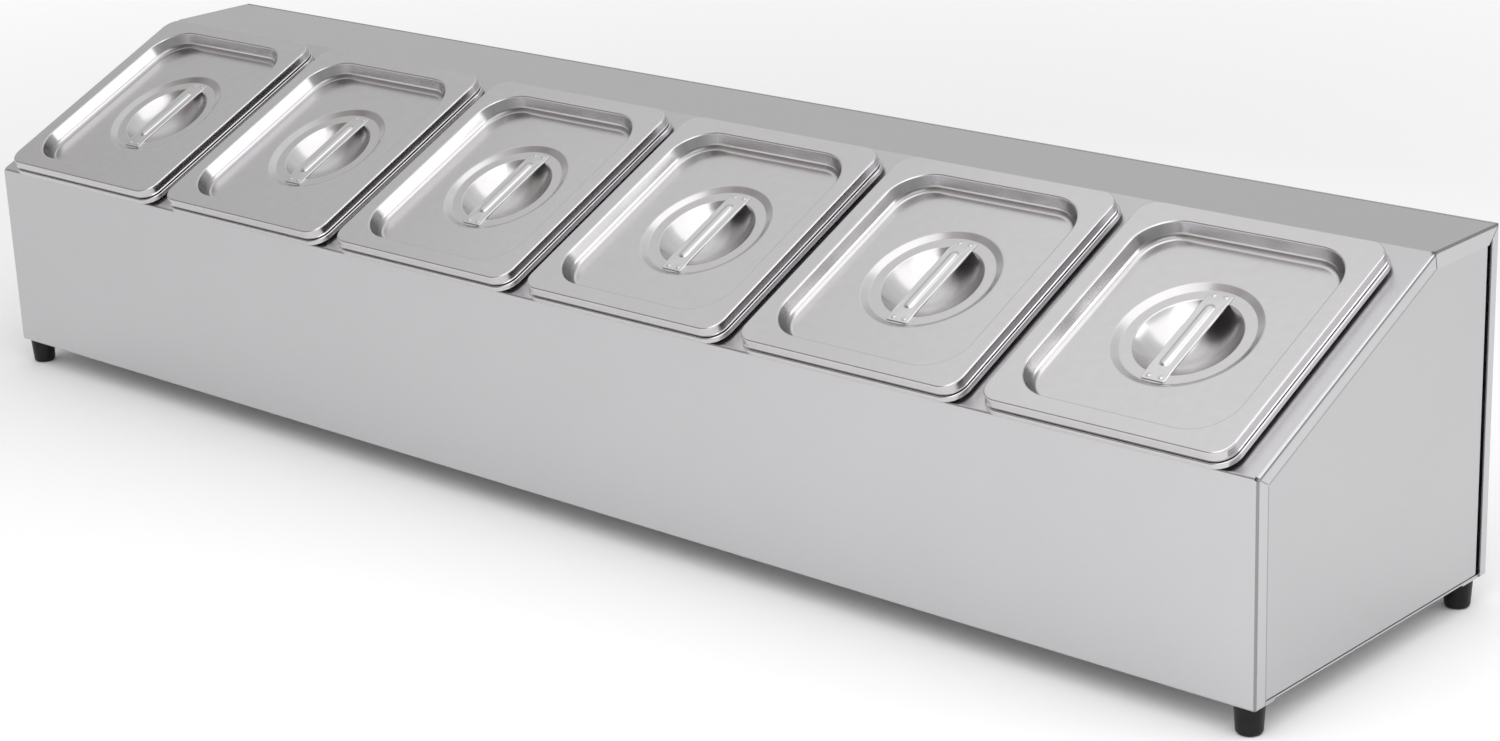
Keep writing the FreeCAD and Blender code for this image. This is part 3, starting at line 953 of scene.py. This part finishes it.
@dataclass
class StrapHandle:
    """Strap across a lid's bowl, with a half-round rib and flattened, welded ends."""

    lid: Lid
    width: float = 15.5
    half_length: float = 36.6
    sheet: float = 1.2
    corner_radius: float = 1.5
    corner_steps: int = 6
    edge_radius: float = 0.5
    edge_run: float = 1.2
    edge_steps: int = 4
    edge_hold: float = 0.1
    under_run: float = 0.5
    rib_width: float = 6.0
    rib_length: float = 51.2
    rib_height: float = 1.2
    rib_steps: int = 8
    rib_foot: tuple[Point2, ...] = ((-1.6, 0.0), (-0.5, 0.0), (-0.15, 0.06))
    rib_end_flat: float = 0.05
    ridge_half: float = 0.1
    end_taper: float = 6.0
    end_share: float = 0.45
    weld_radius: float = 1.5
    weld_height: float = 0.3
    weld_side: float = 3.875
    weld_end: float = 33.6
    weld_seat: float = 0.62
    weld_facets: int = 14
    weld_angles: tuple[float, ...] = (0.0, 0.35, 0.75, 1.15)
    merge_distance: float = 1e-4
    under_cosine: float = 0.5

    def bead(self, top: float) -> list[Point2]:
        """Half-round rib from its foot to its ridge.

        Args:
            top: Level of the strap's upper face.

        Returns:
            Points as (inset, level).
        """
        half = self.rib_width / 2.0
        points = [(inset, top + rise) for inset, rise in self.rib_foot]
        for step in range(1, self.rib_steps + 1):
            angle = math.pi / 2.0 * step / self.rib_steps
            inset = min(half * (1.0 - math.cos(angle)), half - self.ridge_half)
            points.append((inset, top + self.rib_height * math.sin(angle)))
        return points

    def thickness_share(self, distance: float) -> float:
        """Share of the strap's thickness left at a distance from its middle.

        Args:
            distance: Distance from the middle of the strap.

        Returns:
            1 on the strap, less on its flattened ends.
        """
        past = (abs(distance) - self.half_length + self.end_taper) / self.end_taper
        past = min(max(past, 0.0), 1.0)
        return 1.0 - (1.0 - self.end_share) * past * past * (3.0 - 2.0 * past)

    def mesh(self) -> BuiltMesh:
        """Make the strap in its lid's own frame.

        Returns:
            The closed mesh, in millimetres.
        """
        half_rib = self.rib_width / 2.0
        strap = RoundedPlan(self.width, 2.0 * self.half_length, self.corner_radius, self.corner_steps)
        rib = RoundedPlan(self.rib_width, self.rib_length, half_rib - self.rib_end_flat, self.corner_steps)
        bottom = self.lid.ledge_level
        top = bottom + self.sheet
        corners = [(0.0, bottom, 0.0), (0.0, top, self.edge_radius), (self.edge_run, top, 0.0)]
        edge = filleted(corners, self.edge_steps, self.edge_hold)
        rings = [strap.ring(*point) for point in edge] + [rib.ring(*point) for point in self.bead(top)]
        under = [rib.ring(half_rib - self.ridge_half, bottom), rib.ring(0.0, bottom)]
        under += [strap.ring(self.under_run, bottom), strap.ring(0.0, bottom)]
        mesh = bmesh.new()
        bridge(mesh, rings, False)
        bridge(mesh, under, False)
        for ring in (rings[-1], under[0]):
            mesh.faces.new([mesh.verts.new(point) for point in ring])
        bmesh.ops.remove_doubles(mesh, verts=mesh.verts, dist=self.merge_distance)
        bmesh.ops.recalc_face_normals(mesh, faces=mesh.faces)
        for vert in mesh.verts:
            vert.co.z = bottom + (vert.co.z - bottom) * self.thickness_share(vert.co.y)
        return mesh

    def weld(self) -> MeshData:
        """Low round weld bump about the Z axis, in metres.

        Returns:
            The bump's mesh.
        """
        radius, height = self.weld_radius, self.weld_height
        plan = RoundPlan(self.weld_facets, 0.0)
        rings = [[Vector((0.0, 0.0, -height))], plan.ring(-radius, -height)]
        for angle in self.weld_angles:
            rings.append(plan.ring(-radius * math.cos(angle), height * math.sin(angle)))
        rings.append(plan.ring(0.0, height))
        mesh = bmesh.new()
        bridge(mesh, rings, False)
        mesh.transform(Matrix.Scale(MM, 4))
        return mesh_data(mesh, "weld_bump")

    def build(self, number: int, material: Material, underside: Material) -> Piece:
        """Make one strap in place.

        Args:
            number: Lid number from 1.
            material: Its finish.
            underside: Finish of the faces towards the bowl, a dark painted shade.

        Returns:
            The strap.
        """
        mesh = self.mesh()
        place = self.lid.deck.matrix(number, self.lid.top)
        mesh.transform(place)
        piece = finish_mesh(mesh, f"strap_{number}", material)
        piece.data.materials.append(underside)
        # the faces towards the bowl get the painted shade
        down = (place.to_3x3() @ Vector((0.0, 0.0, -1.0))).normalized()
        for face in piece.data.polygons:
            face.material_index = int(face.normal.dot(down) > self.under_cosine)
        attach(piece, f"lid_{number}_body")
        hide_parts(f"lid_handle_{number}")
        return piece


@dataclass
class Feet:
    """Four tapered rubber feet, bored from below."""

    height: float = 17.0
    top_radius: float = 8.5
    bottom_radius: float = 7.4
    edge_radius: float = 2.2
    bore_radius: float = 3.9
    bore_depth: float = 7.0
    hole_radius: float = 2.3
    lip_radius: float = 0.4
    bore_bend: float = 0.2
    bend_steps: int = 6
    bend_hold: float = 0.1
    reach_x: float = 525.0
    front_y: float = -105.4546
    rear_y: float = 105.0874
    facets: int = 40

    def template(self) -> MeshData:
        """One foot about the Z axis, in metres.

        Returns:
            The foot's mesh.
        """
        outline = filleted([
            (self.hole_radius, self.height, 0.0),
            (self.top_radius, self.height, self.lip_radius),
            (self.bottom_radius, 0.0, self.edge_radius),
            (self.bore_radius, 0.0, self.lip_radius),
            (self.bore_radius, self.bore_depth, self.bore_bend),
            (self.hole_radius, self.bore_depth, 0.0),
        ], self.bend_steps, self.bend_hold)
        mesh = bmesh.new()
        rings = [RoundPlan(self.facets, 0.0).ring(-radius, level) for radius, level in outline]
        bridge(mesh, rings, True)
        mesh.transform(Matrix.Scale(MM, 4))
        return mesh_data(mesh, "foot_template")


# Repeats made with geometry nodes


@dataclass(frozen=True)
class PointRepeat:
    """Geometry nodes tree that puts a shape on a grid of points."""

    name: str
    columns: int
    rows: int

    def tree(self) -> Tree:
        """Make the tree with its named inputs.

        Returns:
            The node tree.
        """
        tree = bpy.data.node_groups.new(self.name, "GeometryNodeTree")
        inputs = [
            ("Shape", "NodeSocketObject"),
            ("Finish", "NodeSocketMaterial"),
            ("Size X", "NodeSocketFloat"),
            ("Size Y", "NodeSocketFloat"),
            ("Turn", "NodeSocketVector"),
            ("Place", "NodeSocketVector"),
        ]
        for label, kind in inputs:
            tree.interface.new_socket(label, in_out="INPUT", socket_type=kind)
        tree.interface.new_socket("Geometry", in_out="OUTPUT", socket_type="NodeSocketGeometry")
        entry = tree.nodes.new("NodeGroupInput")
        result = tree.nodes.new("NodeGroupOutput")
        grid = tree.nodes.new("GeometryNodeMeshGrid")
        grid.inputs["Vertices X"].default_value = self.columns
        grid.inputs["Vertices Y"].default_value = self.rows
        shape = tree.nodes.new("GeometryNodeObjectInfo")
        copies = tree.nodes.new("GeometryNodeInstanceOnPoints")
        whole = tree.nodes.new("GeometryNodeRealizeInstances")
        seat = tree.nodes.new("GeometryNodeTransform")
        finish = tree.nodes.new("GeometryNodeSetMaterial")
        join = tree.links.new
        join(entry.outputs["Size X"], grid.inputs["Size X"])
        join(entry.outputs["Size Y"], grid.inputs["Size Y"])
        join(entry.outputs["Shape"], shape.inputs["Object"])
        join(grid.outputs["Mesh"], copies.inputs["Points"])
        join(shape.outputs["Geometry"], copies.inputs["Instance"])
        join(copies.outputs["Instances"], whole.inputs["Geometry"])
        join(whole.outputs["Geometry"], seat.inputs["Geometry"])
        join(entry.outputs["Turn"], seat.inputs["Rotation"])
        join(entry.outputs["Place"], seat.inputs["Translation"])
        join(seat.outputs["Geometry"], finish.inputs["Geometry"])
        join(entry.outputs["Finish"], finish.inputs["Material"])
        join(finish.outputs["Geometry"], result.inputs["Geometry"])
        return tree


def repeated(
    name: str,
    repeat: PointRepeat,
    shape: MeshData,
    size: Point2,
    turn: Place,
    place: Vector,
    material: Material,
) -> Piece:
    """Run a repeat and keep its result as a plain mesh.

    Args:
        name: Name of the piece.
        repeat: The repeat's tree maker.
        shape: Mesh that is repeated.
        size: Width and length of the grid of points, in metres.
        turn: Rotation of the grid, in radians.
        place: Centre of the grid in the row frame, in metres.
        material: Finish of the copies.

    Returns:
        The piece.
    """
    tree = repeat.tree()
    template = linked(name + "_template", shape)
    carrier = linked(name + "_carrier", bpy.data.meshes.new(name + "_carrier"))
    modifier = carrier.modifiers.new("repeat", "NODES")
    modifier.node_group = tree
    values = {
        "Shape": template,
        "Finish": material,
        "Size X": size[0],
        "Size Y": size[1],
        "Turn": turn,
        "Place": tuple(place),
    }
    for item in tree.interface.items_tree:
        if item.in_out == "INPUT":
            modifier[item.identifier] = values[item.name]
    scene_graph = bpy.context.evaluated_depsgraph_get()
    data = bpy.data.meshes.new_from_object(carrier.evaluated_get(scene_graph))
    data.name = name
    bpy.data.objects.remove(carrier)
    bpy.data.objects.remove(template)
    return object_for(data, name, material)


# Room, light and camera


@dataclass(frozen=True)
class SoftLamp:
    """Flat soft lamp, by its place, the point it faces, its size and how bright its face looks."""

    name: str
    place: Place
    target: Place
    size: Point2
    brightness: float

    def build(self) -> None:
        """Hang the lamp."""
        data = bpy.data.lights.new(self.name, "AREA")
        data.shape = "RECTANGLE"
        data.size, data.size_y = self.size
        data.energy = self.brightness * math.pi * self.size[0] * self.size[1]
        lamp = linked(self.name, data)
        lamp.location = self.place
        facing = Vector(self.place) - Vector(self.target)
        lamp.rotation_euler = facing.to_track_quat("Z", "Y").to_euler()


@dataclass(frozen=True)
class DarkPart:
    """Darker part of the room, by its direction and the cosines where it starts and is full."""

    way: Place
    start: float
    full: float
    tone: Tone


@dataclass
class Studio:
    """Pale floor, soft lamps and a white surround."""

    floor_tone: float = 0.96
    floor_roughness: float = 0.9
    floor_size: float = 30.0
    far_lift: float = 0.3
    lift_from: float = 0.9
    lift_to: float = 2.2
    ambient: float = 0.87
    shade_way: Place = (0.35, -0.25, 0.90)
    shades: tuple[Point2, ...] = ((0.60, 0.66), (0.725, 0.75), (0.90, 0.64))
    dark_parts: tuple[DarkPart, ...] = (
        DarkPart((-0.52, -0.74, 0.42), 0.68, 0.92, (0.29, 0.265, 0.25)),
        DarkPart((-0.90, -0.10, 0.42), 0.93, 0.985, (0.45, 0.44, 0.44)),
    )
    lamps: tuple[SoftLamp, ...] = (
        SoftLamp("overhead_wide", (0.6, -0.5, 1.70), (0.6, -0.5, 0.0), (4.6, 3.6), 0.13),
        SoftLamp("overhead_middle", (0.6, -0.5, 1.68), (0.6, -0.5, 0.0), (3.0, 2.4), 0.13),
        SoftLamp("overhead_core", (0.75, -0.9, 1.66), (0.75, -0.9, 0.0), (2.0, 2.4), 0.72),
        SoftLamp("front_box", (0.70, -1.1, 1.05), (0.35, -0.2, 0.0), (0.9, 0.9), 1.1),
        SoftLamp("right_box", (1.2, 0.50, 0.84), (0.0, 0.0, 0.4), (0.7, 0.62), 1.5),
    )

    def floor(self) -> None:
        """Make the floor."""
        half = self.floor_size / 2.0
        corners = [(-half, -half, 0), (half, -half, 0), (half, half, 0), (-half, half, 0)]
        data = bpy.data.meshes.new("floor")
        data.from_pydata(corners, [], [(0, 1, 2, 3)])
        plane = linked("floor", data)
        material = new_material("pale_floor")
        tree = material.node_tree
        values = {
            "Base Color": (self.floor_tone,) * 3,
            "Roughness": self.floor_roughness,
            "Specular IOR Level": 0.0,
            "Emission Color": WHITE,
            "Emission Strength": self.far_white(tree),
        }
        for label, value in values.items():
            feed(tree, tree.nodes["Principled BSDF"].inputs[label], value)
        data.materials.append(material)

    def far_white(self, tree: Tree) -> Socket:
        """Lift the far floor to the backdrop's white, for the camera and for reflections alone.

        Args:
            tree: The floor's nodes.

        Returns:
            The lift's socket.
        """
        away = tree.nodes.new("ShaderNodeVectorMath")
        away.operation = "LENGTH"
        feed(tree, away.inputs[0], object_place(tree))
        rise = span(tree, away.outputs["Value"], self.lift_from, self.lift_to, 0.0, self.far_lift)
        return maths(tree, "MULTIPLY", rise, shown_rays(tree))

    def surround(self) -> None:
        """Surround that is white for the camera and shaded by direction for reflections, softer light for
        the rest.
        """
        world = bpy.data.worlds.new("studio")
        bpy.context.scene.world = world
        world.use_nodes = True
        tree = world.node_tree
        tree.nodes.clear()
        seen = tree.nodes.new("ShaderNodeBackground")
        soft = tree.nodes.new("ShaderNodeBackground")
        soft.inputs["Strength"].default_value = self.ambient
        mix = tree.nodes.new("ShaderNodeMixShader")
        feed(tree, seen.inputs["Color"], self.room_tone(tree))
        feed(tree, mix.inputs["Fac"], shown_rays(tree))
        feed(tree, mix.inputs[1], soft.outputs[0])
        feed(tree, mix.inputs[2], seen.outputs[0])
        feed(tree, tree.nodes.new("ShaderNodeOutputWorld").inputs["Surface"], mix.outputs[0])

    def room_tone(self, tree: Tree) -> Socket:
        """White for the camera. Reflections see the room shaded by direction, with its dark parts.

        Args:
            tree: The world's nodes.

        Returns:
            The colour's socket.
        """
        place = tree.nodes.new("ShaderNodeTexCoord").outputs["Generated"]
        turned = span(tree, along(tree, place, Vector(self.shade_way).normalized()), -1.0, 1.0)
        colour = ramp(tree, turned, [(position, (tone,) * 3) for position, tone in self.shades])
        for part in self.dark_parts:
            cosine = along(tree, place, Vector(part.way).normalized())
            colour = blend(tree, span(tree, cosine, part.start, part.full), colour, part.tone)
        glossy = tree.nodes.new("ShaderNodeLightPath").outputs["Is Glossy Ray"]
        return blend(tree, glossy, WHITE, colour)

    def build(self) -> None:
        """Set up the floor, the surround and the lamps."""
        self.floor()
        self.surround()
        for lamp in self.lamps:
            lamp.build()


@dataclass(frozen=True)
class PhotoCamera:
    """Camera at the photograph's viewing angle."""

    azimuth_deg: float = 42.839
    elevation_deg: float = 18.649
    roll_deg: float = -2.353
    place: Place = (1.35668, -1.37344, 0.71466)
    focal_px: float = 3156.21
    sensor: float = 36.0

    def build(self) -> None:
        """Make the camera and use it."""
        azimuth, elevation = math.radians(self.azimuth_deg), math.radians(self.elevation_deg)
        flat = math.cos(elevation)
        back = Vector((math.sin(azimuth) * flat, -math.cos(azimuth) * flat, math.sin(elevation)))
        right = Vector((0.0, 0.0, 1.0)).cross(back).normalized()
        up = back.cross(right)
        axes = Matrix((right, up, back)).transposed() @ Matrix.Rotation(math.radians(self.roll_deg), 3, "Z")
        data = bpy.data.cameras.new("photo_camera")
        data.sensor_width = self.sensor
        data.lens = self.focal_px / IMAGE_WIDTH * self.sensor
        camera = linked("photo_camera", data)
        camera.matrix_world = Matrix.Translation(Vector(self.place)) @ axes.to_4x4()
        bpy.context.scene.camera = camera


# The whole station


@dataclass
class Station:
    """The case, its feet and fasteners, and the row of lidded pans."""

    deck: Deck = field(default_factory=Deck)
    feet: Feet = field(default_factory=Feet)
    case_nodes: tuple[str, ...] = ("front_deck_panel", "back_panel", "bottom_plate")
    end_nodes: tuple[str, ...] = ("left_end_panel", "right_end_panel")
    fastener_nodes: tuple[str, ...] = ("back_panel_screws", "foot_screws", "foot_washers", "foot_nuts")

    def dress(self, names: Sequence[str], material: Material) -> None:
        """Give CAD nodes their finish.

        Args:
            names: Nodes that get it.
            material: The finish.
        """
        for name in names:
            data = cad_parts[name].data
            data.materials.clear()
            data.materials.append(material)
            log.info("dressed %s", name)

    def build_feet(self) -> None:
        """Repeat the foot under the four corners of the case."""
        span_y = (self.feet.rear_y - self.feet.front_y) * MM
        middle = Vector((0.0, (self.feet.rear_y + self.feet.front_y) / 2.0 * MM, 0.0))
        feet = repeated(
            "rubber_feet",
            PointRepeat("feet_at_corners", 2, 2),
            self.feet.template(),
            (2.0 * self.feet.reach_x * MM, span_y),
            (0.0, 0.0, 0.0),
            middle,
            FOOT_RUBBER.build(),
        )
        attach(feet, "case")
        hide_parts("foot_front_left", "foot_front_right", "foot_rear_left", "foot_rear_right")
        log.info("built %s", feet.name)

    def build_row(self) -> None:
        """Build every pan with its lid and strap."""
        pan, lid = Pan(self.deck), Lid(self.deck)
        strap = StrapHandle(lid)
        pan_steel, lid_steel, strap_steel = PAN_STEEL.build(), LID_STEEL.build(), HANDLE_STEEL.build()
        underside = UNDERSIDE_SHADE_STEEL.build()
        welds = PointRepeat("welds_on_strap", 2, 2)
        for number in range(1, self.deck.pan_count + 1):
            pieces = [
                pan.build(number, pan_steel),
                lid.build(number, lid_steel),
                strap.build(number, strap_steel, underside),
            ]
            top = Vector((0.0, 0.0, lid.ledge_level + strap.sheet * strap.weld_seat))
            spots = repeated(
                f"strap_welds_{number}",
                welds,
                strap.weld(),
                (2.0 * strap.weld_side * MM, 2.0 * strap.weld_end * MM),
                (math.radians(self.deck.slope_deg), 0.0, 0.0),
                self.deck.matrix(number, lid.top) @ top,
                strap_steel,
            )
            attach(spots, f"lid_{number}_body")
            for piece in pieces + [spots]:
                log.info("built %s", piece.name)

    def build(self) -> None:
        """Dress the CAD nodes and build the other pieces."""
        self.dress(self.case_nodes, CASE_STEEL.build())
        self.dress(self.end_nodes, END_SHADED_STEEL.build())
        self.dress(self.fastener_nodes, FASTENER_STEEL.build())
        self.build_feet()
        self.build_row()


def main() -> None:
    """Build the station, the studio and the camera."""
    logging.basicConfig(level=logging.INFO, format="%(name)s: %(message)s")
    bpy.context.scene.view_settings.view_transform = "Standard"
    Station().build()
    Studio().build()
    PhotoCamera().build()


if __name__ == "__main__":
    main()
